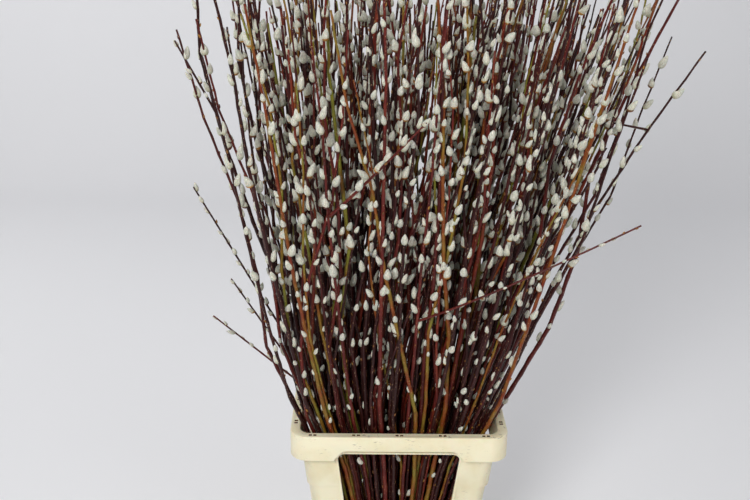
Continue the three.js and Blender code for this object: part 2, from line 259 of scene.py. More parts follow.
@dataclass(frozen=True)
class WillowBark:
    """Smooth young willow bark, grown and not worked.

    It gives the eye a satin dark red-brown rod, drawn out in fine streaks along the stem,
    dotted with pale pores, and turning orange-brown or olive on some stems.
    """

    shades: tuple[tuple[float, str], ...] = (
        (0.0, "#290c0b"),
        (0.25, "#3d110f"),
        (0.5, "#5a1a15"),
        (0.68, "#6d2713"),
        (0.8, "#774015"),
        (0.9, "#785c1d"),
        (1.0, "#727024"),
    )
    streak_width: float = 1.1 * MM
    streak_length: float = 18 * MM
    pore_spacing: float = 3.2 * MM
    pore_colour: str = "#b79372"
    bloom_colour: str = "#5b4a4b"
    roughness: float = 0.34

    def material(self) -> bpy.types.Material:
        """Builds the bark.

        Returns:
            The material.
        """
        material, tree = new_material("willow_bark")
        place = add_node(tree, "ShaderNodeTexCoord").outputs["Object"]
        tone = add_node(tree, "ShaderNodeAttribute", attribute_name=TONE).outputs["Fac"]
        stretched = add_node(
            tree,
            "ShaderNodeMapping",
            {"Vector": place, "Scale": (1, 1, self.streak_width / self.streak_length)},
        ).outputs[0]
        streaks = add_node(
            tree,
            "ShaderNodeTexNoise",
            {"Vector": stretched, "Scale": 1 / self.streak_width, "Detail": 3.0, "Roughness": 0.6},
        ).outputs[0]
        patches = add_node(
            tree,
            "ShaderNodeTexNoise",
            {"Vector": place, "Scale": 1 / (45 * MM), "Detail": 2.0},
        ).outputs[0]
        shift = add_node(
            tree,
            "ShaderNodeMapRange",
            {"Value": patches, "From Min": 0.25, "From Max": 0.75, "To Min": -0.17, "To Max": 0.17},
        ).outputs[0]
        shade = add_node(tree, "ShaderNodeMath", {0: tone, 1: shift}, operation="ADD").outputs[0]
        base = add_node(tree, "ShaderNodeValToRGB", {"Fac": shade}, stops=self.shades).outputs[0]
        light = add_node(
            tree,
            "ShaderNodeMapRange",
            {"Value": streaks, "From Min": 0.3, "From Max": 0.7, "To Min": 0.62, "To Max": 1.4},
        ).outputs[0]
        streaked = add_node(
            tree,
            "ShaderNodeHueSaturation",
            {"Color": base, "Value": light},
        ).outputs[0]
        bloom_share = add_node(
            tree,
            "ShaderNodeMapRange",
            {"Value": patches, "From Min": 0.55, "From Max": 0.8, "To Min": 0.0, "To Max": 0.12},
        ).outputs[0]
        bloomed = add_node(
            tree,
            "ShaderNodeMix",
            {0: bloom_share, 6: streaked, 7: linear(self.bloom_colour)},
            data_type="RGBA",
        ).outputs[2]
        pore_place = add_node(
            tree, "ShaderNodeMapping", {"Vector": place, "Scale": (1, 1, 0.45)}
        ).outputs[0]
        pores = add_node(
            tree,
            "ShaderNodeTexVoronoi",
            {"Vector": pore_place, "Scale": 1 / self.pore_spacing, "Randomness": 1.0},
        ).outputs["Distance"]
        pore_share = add_node(
            tree,
            "ShaderNodeMapRange",
            {"Value": pores, "From Min": 0.1, "From Max": 0.2, "To Min": 0.7, "To Max": 0.0},
        ).outputs[0]
        colour = add_node(
            tree,
            "ShaderNodeMix",
            {0: pore_share, 6: bloomed, 7: linear(self.pore_colour)},
            data_type="RGBA",
        ).outputs[2]
        roughness = add_node(
            tree,
            "ShaderNodeMapRange",
            {"Value": streaks, "To Min": self.roughness - 0.12, "To Max": self.roughness + 0.16},
        ).outputs[0]
        relief = add_node(
            tree, "ShaderNodeMath", {0: streaks, 1: pore_share}, operation="ADD"
        ).outputs[0]
        bump = add_node(
            tree,
            "ShaderNodeBump",
            {"Height": relief, "Strength": 0.5, "Distance": 0.35 * MM},
        ).outputs[0]
        shader = add_node(
            tree,
            "ShaderNodeBsdfPrincipled",
            {
                "Base Color": colour,
                "Roughness": roughness,
                "Normal": bump,
                "IOR": 1.33,
            },
        )
        add_node(tree, "ShaderNodeOutputMaterial", {"Surface": shader.outputs[0]})
        return material


@dataclass(frozen=True)
class CatkinFur:
    """The silky hair of a willow catkin, a dense nap that stands off the flower head.

    It gives the eye a soft silver-white body with a bright edge, faint streaks of painted
    shade between the hairs along its length, and a warmer, greener root where the hair is thin.
    """

    root_colour: str = "#a09d6c"
    body_colour: str = "#dddbc9"
    tip_colour: str = "#ececdf"
    shadow_colour: str = "#85826d"
    hair_width: float = 0.7 * MM
    hair_length: float = 6 * MM

    def material(self) -> bpy.types.Material:
        """Builds the fur.

        Returns:
            The material.
        """
        material, tree = new_material("catkin_fur")
        place = add_node(tree, "ShaderNodeTexCoord").outputs["Object"]
        along = add_node(tree, "ShaderNodeAttribute", attribute_name=ALONG).outputs["Fac"]
        stretched = add_node(
            tree,
            "ShaderNodeMapping",
            {"Vector": place, "Scale": (1, 1, self.hair_width / self.hair_length)},
        ).outputs[0]
        hairs = add_node(
            tree,
            "ShaderNodeTexNoise",
            {"Vector": stretched, "Scale": 1 / self.hair_width, "Detail": 4.0, "Roughness": 0.7},
        ).outputs[0]
        tufts = add_node(
            tree,
            "ShaderNodeTexNoise",
            {"Vector": place, "Scale": 1 / (5 * MM), "Detail": 2.0},
        ).outputs[0]
        base = add_node(
            tree,
            "ShaderNodeValToRGB",
            {"Fac": along},
            stops=((0.0, self.root_colour), (0.34, self.body_colour), (1.0, self.tip_colour)),
        ).outputs[0]
        # Painted shade between the hairs: the shadow colour is mixed in along the hair streaks.
        hair_shade = add_node(
            tree,
            "ShaderNodeMapRange",
            {"Value": hairs, "From Min": 0.36, "From Max": 0.62, "To Min": 0.75, "To Max": 0.0},
        ).outputs[0]
        streaked = add_node(
            tree,
            "ShaderNodeMix",
            {0: hair_shade, 6: base, 7: linear(self.shadow_colour)},
            data_type="RGBA",
        ).outputs[2]
        tuft_light = add_node(
            tree,
            "ShaderNodeMapRange",
            {"Value": tufts, "From Min": 0.3, "From Max": 0.7, "To Min": 0.84, "To Max": 1.1},
        ).outputs[0]
        colour = add_node(
            tree, "ShaderNodeHueSaturation", {"Color": streaked, "Value": tuft_light}
        ).outputs[0]
        relief = add_node(tree, "ShaderNodeMath", {0: hairs, 1: tufts}, operation="ADD").outputs[0]
        bump = add_node(
            tree,
            "ShaderNodeBump",
            {"Height": relief, "Strength": 0.7, "Distance": 0.9 * MM},
        ).outputs[0]
        shader = add_node(
            tree,
            "ShaderNodeBsdfPrincipled",
            {
                "Base Color": colour,
                "Roughness": 0.85,
                "Normal": bump,
                "Sheen Weight": 0.6,
                "Sheen Roughness": 0.4,
                "Subsurface Weight": 0.12,
                "Subsurface Scale": 2 * MM,
            },
        )
        add_node(tree, "ShaderNodeOutputMaterial", {"Surface": shader.outputs[0]})
        return material


@dataclass(frozen=True)
class BudScale:
    """The leathery scale that wraps a willow bud, dried to a thin shell.

    It gives the eye a small glossy cap, chestnut to olive-yellow, brighter than the bark.
    """

    dark: str = "#4a1d14"
    light: str = "#a8762c"

    def material(self) -> bpy.types.Material:
        """Builds the bud scale.

        Returns:
            The material.
        """
        material, tree = new_material("bud_scale")
        place = add_node(tree, "ShaderNodeTexCoord").outputs["Object"]
        drift = add_node(
            tree, "ShaderNodeTexNoise", {"Vector": place, "Scale": 1 / (60 * MM), "Detail": 3.0}
        ).outputs[0]
        grain = add_node(
            tree, "ShaderNodeTexNoise", {"Vector": place, "Scale": 1 / (0.9 * MM), "Detail": 2.0}
        ).outputs[0]
        colour = add_node(
            tree,
            "ShaderNodeValToRGB",
            {"Fac": drift},
            stops=((0.38, self.dark), (0.68, self.light)),
        ).outputs[0]
        roughness = add_node(
            tree, "ShaderNodeMapRange", {"Value": grain, "To Min": 0.28, "To Max": 0.5}
        ).outputs[0]
        bump = add_node(
            tree, "ShaderNodeBump", {"Height": grain, "Strength": 0.3, "Distance": 0.2 * MM}
        ).outputs[0]
        shader = add_node(
            tree,
            "ShaderNodeBsdfPrincipled",
            {"Base Color": colour, "Roughness": roughness, "Normal": bump, "IOR": 1.48},
        )
        add_node(tree, "ShaderNodeOutputMaterial", {"Surface": shader.outputs[0]})
        return material


@dataclass(frozen=True)
class CutWillowWood:
    """Willow wood where a knife went through it, fresh and slightly weathered.

    It gives the eye a pale straw-orange disc with a darker, uneven middle.
    """

    pale: str = "#d9b98c"
    dark: str = "#9a6a3e"

    def material(self) -> bpy.types.Material:
        """Builds the cut wood.

        Returns:
            The material.
        """
        material, tree = new_material("cut_willow_wood")
        place = add_node(tree, "ShaderNodeTexCoord").outputs["Object"]
        grain = add_node(
            tree, "ShaderNodeTexNoise", {"Vector": place, "Scale": 1 / (1.2 * MM), "Detail": 4.0}
        ).outputs[0]
        colour = add_node(
            tree,
            "ShaderNodeValToRGB",
            {"Fac": grain},
            stops=((0.35, self.dark), (0.6, self.pale)),
        ).outputs[0]
        bump = add_node(
            tree, "ShaderNodeBump", {"Height": grain, "Strength": 0.4, "Distance": 0.2 * MM}
        ).outputs[0]
        shader = add_node(
            tree,
            "ShaderNodeBsdfPrincipled",
            {"Base Color": colour, "Roughness": 0.8, "Normal": bump},
        )
        add_node(tree, "ShaderNodeOutputMaterial", {"Surface": shader.outputs[0]})
        return material


@dataclass(frozen=True)
class MouldedPolyethylene:
    """Injection-moulded polyethylene that has been through many washes and trolleys.

    It gives the eye a waxy, slightly translucent cream with soft gloss, faint cloudy
    patches, and small grey rubs that grow thicker towards the rim.
    """

    cream: str = "#efe7c8"
    shade: str = "#e4d8b0"
    rub: str = "#8f8676"
    rub_spacing: float = 26 * MM
    roughness: float = 0.38

    def material(self, rim_bottom: float, rim_top: float) -> bpy.types.Material:
        """Builds the plastic.

        Args:
            rim_bottom: The height of the skirt's lower edge.
            rim_top: The height of the rim.

        Returns:
            The material.
        """
        material, tree = new_material("moulded_cream_polyethylene")
        place = add_node(tree, "ShaderNodeTexCoord").outputs["Object"]
        height = add_node(tree, "ShaderNodeSeparateXYZ", {"Vector": place}).outputs["Z"]
        clouds = add_node(
            tree,
            "ShaderNodeTexNoise",
            {"Vector": place, "Scale": 1 / (70 * MM), "Detail": 5.0, "Roughness": 0.55},
        ).outputs[0]
        base = add_node(
            tree,
            "ShaderNodeValToRGB",
            {"Fac": clouds},
            stops=((0.3, self.shade), (0.55, self.cream)),
        ).outputs[0]
        rub_place = add_node(
            tree, "ShaderNodeMapping", {"Vector": place, "Scale": (0.35, 0.35, 1.6)}
        ).outputs[0]
        rub_cells = add_node(
            tree,
            "ShaderNodeTexNoise",
            {"Vector": rub_place, "Scale": 1 / (4 * MM), "Detail": 6.0, "Roughness": 0.75},
        ).outputs[0]
        rub_areas = add_node(
            tree,
            "ShaderNodeTexNoise",
            {"Vector": place, "Scale": 1 / self.rub_spacing, "Detail": 1.0},
        ).outputs[0]
        fine_rubs = add_node(
            tree,
            "ShaderNodeMapRange",
            {"Value": rub_cells, "From Min": 0.57, "From Max": 0.63},
        ).outputs[0]
        areas = add_node(
            tree,
            "ShaderNodeMapRange",
            {"Value": rub_areas, "From Min": 0.52, "From Max": 0.6},
        ).outputs[0]
        on_rim = add_node(
            tree,
            "ShaderNodeMapRange",
            {
                "Value": height,
                "From Min": rim_bottom,
                "From Max": rim_top,
                "To Min": 0.3,
                "To Max": 0.85,
            },
        ).outputs[0]
        patched = add_node(
            tree, "ShaderNodeMath", {0: fine_rubs, 1: areas}, operation="MULTIPLY"
        ).outputs[0]
        rub_share = add_node(
            tree, "ShaderNodeMath", {0: patched, 1: on_rim}, operation="MULTIPLY"
        ).outputs[0]
        colour = add_node(
            tree,
            "ShaderNodeMix",
            {0: rub_share, 6: base, 7: linear(self.rub)},
            data_type="RGBA",
        ).outputs[2]
        worn = add_node(
            tree,
            "ShaderNodeMapRange",
            {"Value": clouds, "To Min": self.roughness - 0.08, "To Max": self.roughness + 0.14},
        ).outputs[0]
        roughness = add_node(tree, "ShaderNodeMath", {0: worn, 1: rub_share}, operation="ADD").outputs[0]
        ripple = add_node(
            tree,
            "ShaderNodeTexNoise",
            {"Vector": place, "Scale": 1 / (16 * MM), "Detail": 2.0},
        ).outputs[0]
        relief = add_node(
            tree, "ShaderNodeMath", {0: ripple, 1: rub_share}, operation="SUBTRACT"
        ).outputs[0]
        bump = add_node(
            tree, "ShaderNodeBump", {"Height": relief, "Strength": 0.12, "Distance": 0.6 * MM}
        ).outputs[0]
        shader = add_node(
            tree,
            "ShaderNodeBsdfPrincipled",
            {
                "Base Color": colour,
                "Roughness": roughness,
                "Normal": bump,
                "IOR": 1.54,
                "Subsurface Weight": 0.15,
                "Subsurface Scale": 4 * MM,
            },
        )
        add_node(tree, "ShaderNodeOutputMaterial", {"Surface": shader.outputs[0]})
        return material


@dataclass(frozen=True)
class PaintedSlotShade:
    """Painted shade inside the rim's narrow slots.

    It gives the eye dull, uneven dark brown inside each slot, painted in for the shade that falls there.
    """

    dark: str = "#2e1e14"
    light: str = "#6b4a30"

    def material(self) -> bpy.types.Material:
        """Builds the grime.

        Returns:
            The material.
        """
        material, tree = new_material("painted_shade_in_slots")
        place = add_node(tree, "ShaderNodeTexCoord").outputs["Object"]
        lumps = add_node(
            tree, "ShaderNodeTexNoise", {"Vector": place, "Scale": 1 / (2 * MM), "Detail": 3.0}
        ).outputs[0]
        colour = add_node(
            tree,
            "ShaderNodeValToRGB",
            {"Fac": lumps},
            stops=((0.35, self.dark), (0.65, self.light)),
        ).outputs[0]
        bump = add_node(
            tree, "ShaderNodeBump", {"Height": lumps, "Strength": 0.5, "Distance": 0.4 * MM}
        ).outputs[0]
        shader = add_node(
            tree,
            "ShaderNodeBsdfPrincipled",
            {"Base Color": colour, "Roughness": 0.9, "Normal": bump},
        )
        add_node(tree, "ShaderNodeOutputMaterial", {"Surface": shader.outputs[0]})
        return material


# ---- Pieces ----


def finish_piece(
    name: str,
    shape: BMesh,
    materials: Iterable[bpy.types.Material],
    node: str | None = None,
) -> bpy.types.Object:
    """Turns a finished mesh into a piece that rides on the object's one body.

    Args:
        name: The piece's name.
        shape: The mesh, in its place. It is freed.
        materials: The piece's materials, in the order of their slot numbers.
        node: The CAD node that the piece stands for, if any.

    Returns:
        The piece.
    """
    mesh = bpy.data.meshes.new(name)
    shape.to_mesh(mesh)
    shape.free()
    for material in materials:
        mesh.materials.append(material)
    piece = bpy.data.objects.new(name, mesh)
    bpy.context.scene.collection.objects.link(piece)
    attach(piece, "root")
    if node:
        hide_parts(node)
    return piece


@dataclass
class FlowerContainer:
    """The flower container: one moulding with four windows, a flanged rim and a skirt.

    Its half-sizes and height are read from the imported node, and its wall, ledge and window
    sizes match that node. Edges are rounded above one angle between their faces, and stay
    sharp in shading above the other.
    """

    node: str = "container"
    rim_radius: float = 34 * MM
    rim_round: float = 2 * MM
    flange_width: float = 17.5 * MM
    wall: float = 3 * MM
    floor: float = 4 * MM
    draft: float = 0.115
    wall_radius: float = 22 * MM
    step_below_rim: float = 113 * MM
    step_depth: float = 3.5 * MM
    foot_round: float = 3 * MM
    floor_round: float = 6 * MM
    skirt_height: float = 46 * MM
    notch_height: float = 19 * MM
    notch_inset: float = 10 * MM
    notch_flare: float = 7 * MM
    notch_round: float = 7 * MM
    notch_drop: float = 27.6 * MM
    window_below_rim: float = 42 * MM
    window_height: float = 158 * MM
    window_radius: float = 13 * MM
    window_half_long: float = 108 * MM
    window_half_short: float = 70 * MM
    lip_width: float = 4 * MM
    lip_proud: float = 1.6 * MM
    lip_sunk: float = 0.7 * MM
    window_cut_depth: float = 40 * MM
    slot_along: float = 5 * MM
    slot_across: float = 6 * MM
    slot_apart: float = 8 * MM
    slot_pitch_long: float = 75 * MM
    slot_pitch_short: float = 46 * MM
    slot_pairs: int = 5
    corner_segments: int = 10
    edge_round: float = 0.7 * MM
    round_above: float = math.radians(40)
    sharp_above: float = math.radians(32)
    plastic: MouldedPolyethylene = field(default_factory=MouldedPolyethylene)
    slot_shade: PaintedSlotShade = field(default_factory=PaintedSlotShade)

    @cached_property
    def rim_half(self) -> Vector:
        """The rim's half-sizes in x and y, and the container's height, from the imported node."""
        low, high = (Vector(corner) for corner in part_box(self.node))
        return Vector(((high.x - low.x) / 2, (high.y - low.y) / 2, high.z))

    @property
    def height(self) -> float:
        """The height of the rim."""
        return self.rim_half.z

    def wall_inset(self, height: float, below_ledge: bool) -> float:
        """Finds how far the wall's outer face stands in from the rim's outer edge.

        Args:
            height: The height on the wall.
            below_ledge: Whether the point is on the narrower lower part.

        Returns:
            The inset on each side.
        """
        step = self.step_depth if below_ledge else 0.0
        return self.flange_width - self.wall + self.draft * (self.height - height) + step

    def place_loop(
        self, verts: list[BMVert], turn: object, inset: float, height: float, radius: float
    ) -> None:
        """Places one level loop of the loft: a rectangle with rounded corners.

        Args:
            verts: The loop's vertices.
            turn: The layer that holds each vertex's direction round its corner.
            inset: How far the loop stands in from the rim's outer edge.
            height: The loop's height.
            radius: The radius of its corners.
        """
        straight = Vector((self.rim_half.x - inset - radius, self.rim_half.y - inset - radius))
        for vert in verts:
            across = math.cos(vert[turn])
            deep = math.sin(vert[turn])
            x = math.copysign(straight.x, across) + radius * across
            y = math.copysign(straight.y, deep) + radius * deep
            vert.co = (x, y, height)

    def profile(self) -> list[tuple[float, float, float]]:
        """Lists the loops of the moulding, from the middle of the floor to the underside.

        Returns:
            For each loop, its inset from the rim's outer edge, its height and its corner radius.
        """
        top = self.height
        ledge = top - self.step_below_rim
        skirt_bottom = top - self.skirt_height
        inner = self.wall_radius - self.wall
        outer = self.wall_radius
        soft = self.rim_round
        mid_soft = MID_ROUND * soft
        mid_foot = MID_ROUND * self.foot_round
        floor_inset = self.wall_inset(self.floor, True) + self.wall
        mouth = self.wall_inset(top, False) + self.wall
        channel = self.wall_inset(top - self.wall, False)
        inside = [
            (floor_inset + self.floor_round, self.floor, inner - self.floor_round),
            (floor_inset, self.floor + self.floor_round, inner),
            (self.wall_inset(ledge + self.wall, True) + self.wall, ledge + self.wall, inner),
            (self.wall_inset(ledge + self.wall, False) + self.wall, ledge + self.wall, inner),
            (mouth, top - soft, inner),
        ]
        rim = [
            (mouth - mid_soft, top - mid_soft, inner + mid_soft),
            (mouth - soft, top, inner + soft),
            (soft, top, self.rim_radius - soft),
            (mid_soft, top - mid_soft, self.rim_radius - mid_soft),
            (0.0, top - soft, self.rim_radius),
            (0.0, skirt_bottom, self.rim_radius),
            (self.wall, skirt_bottom, self.rim_radius - self.wall),
            (self.wall, top - self.wall, self.rim_radius - self.wall),
        ]
        outside = [
            (channel, top - self.wall, outer),
            (self.wall_inset(ledge, False), ledge, outer),
            (self.wall_inset(ledge, True), ledge, outer),
            (self.wall_inset(self.foot_round, True), self.foot_round, outer),
            (self.wall_inset(0, True) + mid_foot, mid_foot, outer),
            (self.wall_inset(0, True) + self.foot_round, 0.0, outer - self.foot_round),
        ]
        return inside + rim + outside

    def make_shell(self) -> BMesh:
        """Lofts the moulding without its windows and slots.

        Returns:
            The closed shell.
        """
        shape = bmesh.new()
        turn = shape.verts.layers.float.new("turn")
        segments = 4 * self.corner_segments
        half_step = Matrix.Rotation(math.pi / segments, 4, "Z")
        circle = bmesh.ops.create_circle(shape, segments=segments, radius=1, cap_ends=True, matrix=half_step)
        ring = circle["verts"]
        edges = shape.edges[:]
        for vert in ring:
            vert[turn] = math.atan2(vert.co.y, vert.co.x)
        for number, (inset, height, radius) in enumerate(self.profile()):
            if number:
                ring, edges = push_ring(shape, edges)
            self.place_loop(ring, turn, inset, height, radius)
        bmesh.ops.contextual_create(shape, geom=edges)
        bmesh.ops.recalc_face_normals(shape, faces=shape.faces)
        return shape

    def add_slab(
        self, shape: BMesh, corners: list[tuple[float, float]], radius: float, near: float, far: float
    ) -> list[BMVert]:
        """Adds an upright slab with rounded corners, facing the front.

        Args:
            shape: The mesh to add to.
            corners: The outline's corners, as x and height.
            radius: The radius of its corners.
            near: The distance of its inner face from the middle plane.
            far: The distance of its outer face.

        Returns:
            The slab's vertices.
        """
        ring = [shape.verts.new((x, -near, z)) for x, z in corners]
        shape.faces.new(ring)
        rounded = bmesh.ops.bevel(
            shape,
            geom=ring,
            offset=radius,
            offset_type="OFFSET",
            segments=6,
            profile=0.5,
            affect="VERTICES",
            material=-1,
        )
        face = rounded["verts"][0].link_faces[0]
        pushed = bmesh.ops.extrude_face_region(shape, geom=[face], use_keep_orig=True)
        moved = [item for item in pushed["geom"] if isinstance(item, BMVert)]
        bmesh.ops.translate(shape, verts=moved, vec=(0, near - far, 0))
        return list(face.verts) + moved

    def window_corners(self, top_half: float, grow: float) -> list[tuple[float, float]]:
        """Finds the corners of a window.

        Args:
            top_half: Half the window's width at its top.
            grow: How far to move the outline outwards.

        Returns:
            The corners, as x and height.
        """
        top = self.height - self.window_below_rim
        bottom = top - self.window_height
        bottom_half = top_half - self.draft * self.window_height
        return [
            (top_half + grow, top + grow),
            (-top_half - grow, top + grow),
            (-bottom_half - grow, bottom - grow),
            (bottom_half + grow, bottom - grow),
        ]

    def notch_corners(self, top_half: float) -> list[tuple[float, float]]:
        """Finds the corners of the notch that lifts the skirt over a window.

        Args:
            top_half: Half the window's width at its top.

        Returns:
            The corners, as x and height.
        """
        skirt_bottom = self.height - self.skirt_height
        top = skirt_bottom + self.notch_height
        narrow = top_half - self.notch_inset
        wide = top_half + self.notch_flare
        low = skirt_bottom - self.notch_drop
        return [
            (narrow, top),
            (-narrow, top),
            (-wide, skirt_bottom),
            (-wide, low),
            (wide, low),
            (wide, skirt_bottom),
        ]

    def make_lips(self) -> BMesh:
        """Makes the raised lips round the four windows, leaning with the walls.

        Returns:
            The four slabs. The windows cut them to rings.
        """
        shape = bmesh.new()
        middle = self.height - self.window_below_rim
        inset = self.wall_inset(middle, False)
        back = self.step_depth + self.lip_sunk
        for turn in range(4):
            along_x = turn % 2 == 0
            half = self.window_half_long if along_x else self.window_half_short
            reach = (self.rim_half.y if along_x else self.rim_half.x) - inset
            corners = self.window_corners(half, self.lip_width)
            verts = self.add_slab(shape, corners, self.window_radius + self.lip_width, -back, self.lip_proud)
            lean = Matrix.Rotation(math.atan(self.draft), 4, "X")
            upright = Matrix.Translation((0, 0, -middle))
            seat = Matrix.Translation((0, -reach, middle))
            round_z = Matrix.Rotation(turn * math.pi / 2, 4, "Z")
            bmesh.ops.transform(shape, matrix=round_z @ seat @ lean @ upright, verts=verts)
        bmesh.ops.recalc_face_normals(shape, faces=shape.faces)
        return shape

    def make_cutters(self) -> BMesh:
        """Makes everything that is cut out of the moulding.

        Returns:
            The windows, the skirt's notches and the rim's slots.
        """
        shape = bmesh.new()
        reach = self.rim_half.x + self.wall
        middle = self.flange_width / 2
        for turn in range(4):
            along_x = turn % 2 == 0
            half = self.window_half_long if along_x else self.window_half_short
            edge = self.rim_half.y if along_x else self.rim_half.x
            pitch = self.slot_pitch_long if along_x else self.slot_pitch_short
            round_z = Matrix.Rotation(turn * math.pi / 2, 4, "Z")
            wall_face = edge - self.wall_inset(self.height - self.window_below_rim, True)
            depth = wall_face - self.window_cut_depth
            pieces = self.add_slab(shape, self.window_corners(half, 0), self.window_radius, depth, reach)
            notch = self.notch_corners(half)
            pieces += self.add_slab(shape, notch, self.notch_round, edge - 2 * self.wall, edge + self.wall)
            for number in range(2 * self.slot_pairs):
                pair, partner = divmod(number, 2)
                along = (pair - (self.slot_pairs - 1) / 2) * pitch + (partner - 0.5) * self.slot_apart
                size = Matrix.Diagonal((self.slot_along, self.slot_across, 4 * self.wall, 1))
                spot = Matrix.Translation((along, middle - edge, self.height))
                slot = bmesh.ops.create_cube(shape, size=1, matrix=spot @ size)["verts"]
                # The slot walls take the second material, the dark brown painted shade inside the slots.
                for face in {face for vert in slot for face in vert.link_faces}:
                    face.material_index = 1
                pieces += slot
            bmesh.ops.transform(shape, matrix=round_z, verts=pieces)
        bmesh.ops.recalc_face_normals(shape, faces=shape.faces)
        return shape

    def build(self) -> bpy.types.Object:
        """Makes the container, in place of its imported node.

        Returns:
            The piece.
        """
        rim_bottom = self.height - self.skirt_height
        plastic = self.plastic.material(rim_bottom, self.height)
        # The second material is the dark brown painted shade inside the rim's slots.
        materials = [plastic, self.slot_shade.material()]
        piece = finish_piece("flower_container", self.make_shell(), materials, self.node)
        for tool, operation in ((self.make_lips(), "UNION"), (self.make_cutters(), "DIFFERENCE")):
            mesh = bpy.data.meshes.new("tool")
            tool.to_mesh(mesh)
            tool.free()
            for material in materials:
                mesh.materials.append(material)
            helper = bpy.data.objects.new("tool", mesh)
            bpy.context.scene.collection.objects.link(helper)
            step = piece.modifiers.new("join_or_cut", "BOOLEAN")
            step.operation = operation
            step.solver = "EXACT"
            step.use_self = operation == "DIFFERENCE"
            step.object = helper
            self.apply_modifiers(piece)
            bpy.data.objects.remove(helper)
        rounding = piece.modifiers.new("soft_edges", "BEVEL")
        rounding.width = self.edge_round
        rounding.segments = 2
        rounding.limit_method = "ANGLE"
        rounding.angle_limit = self.round_above
        self.apply_modifiers(piece)
        piece.data.shade_smooth()
        piece.data.set_sharp_from_angle(angle=self.sharp_above)
        return piece

    @staticmethod
    def apply_modifiers(piece: bpy.types.Object) -> None:
        """Bakes a piece's modifiers into its mesh.

        Args:
            piece: The piece.
        """
        graph = bpy.context.evaluated_depsgraph_get()
        graph.update()
        mesh = bpy.data.meshes.new_from_object(piece.evaluated_get(graph))
        piece.modifiers.clear()
        old = piece.data
        name = old.name
        piece.data = mesh
        bpy.data.meshes.remove(old)
        mesh.name = name


@dataclass(frozen=True)
class SideShoot:
    """A side shoot of a stem, in millimetres.

    Attributes:
        column: The column of the stem that bears it.
        row: The row of that stem.
        height: The height where it leaves the stem.
        tip: The way from there to its tip.
        bow: How far its bend is pulled backwards, or forwards where it is negative.
        catkins: How rich it is in catkins, where 1 is a fully opened stretch of stem.
        catkin_size: The size of its catkins, where 1 is full grown.
        radius: Its radius where it leaves the stem.
    """

    column: int
    row: int
    height: float
    tip: tuple[float, float, float]
    bow: float = 0.0
    catkins: float = 1.4
    catkin_size: float = 0.66
    radius: float = 1.9


@dataclass(frozen=True)
class Lean:
    """A boundary stem that leans further out than the fan does, in millimetres.

    Attributes:
        column: The stem's column.
        row: The stem's row.
        start: The height where the lean starts.
        slope: How far it goes sideways for each millimetre up, well above the start.
        top: The height of the stem's tip.
    """

    column: int
    row: int
    start: float
    slope: float
    top: float


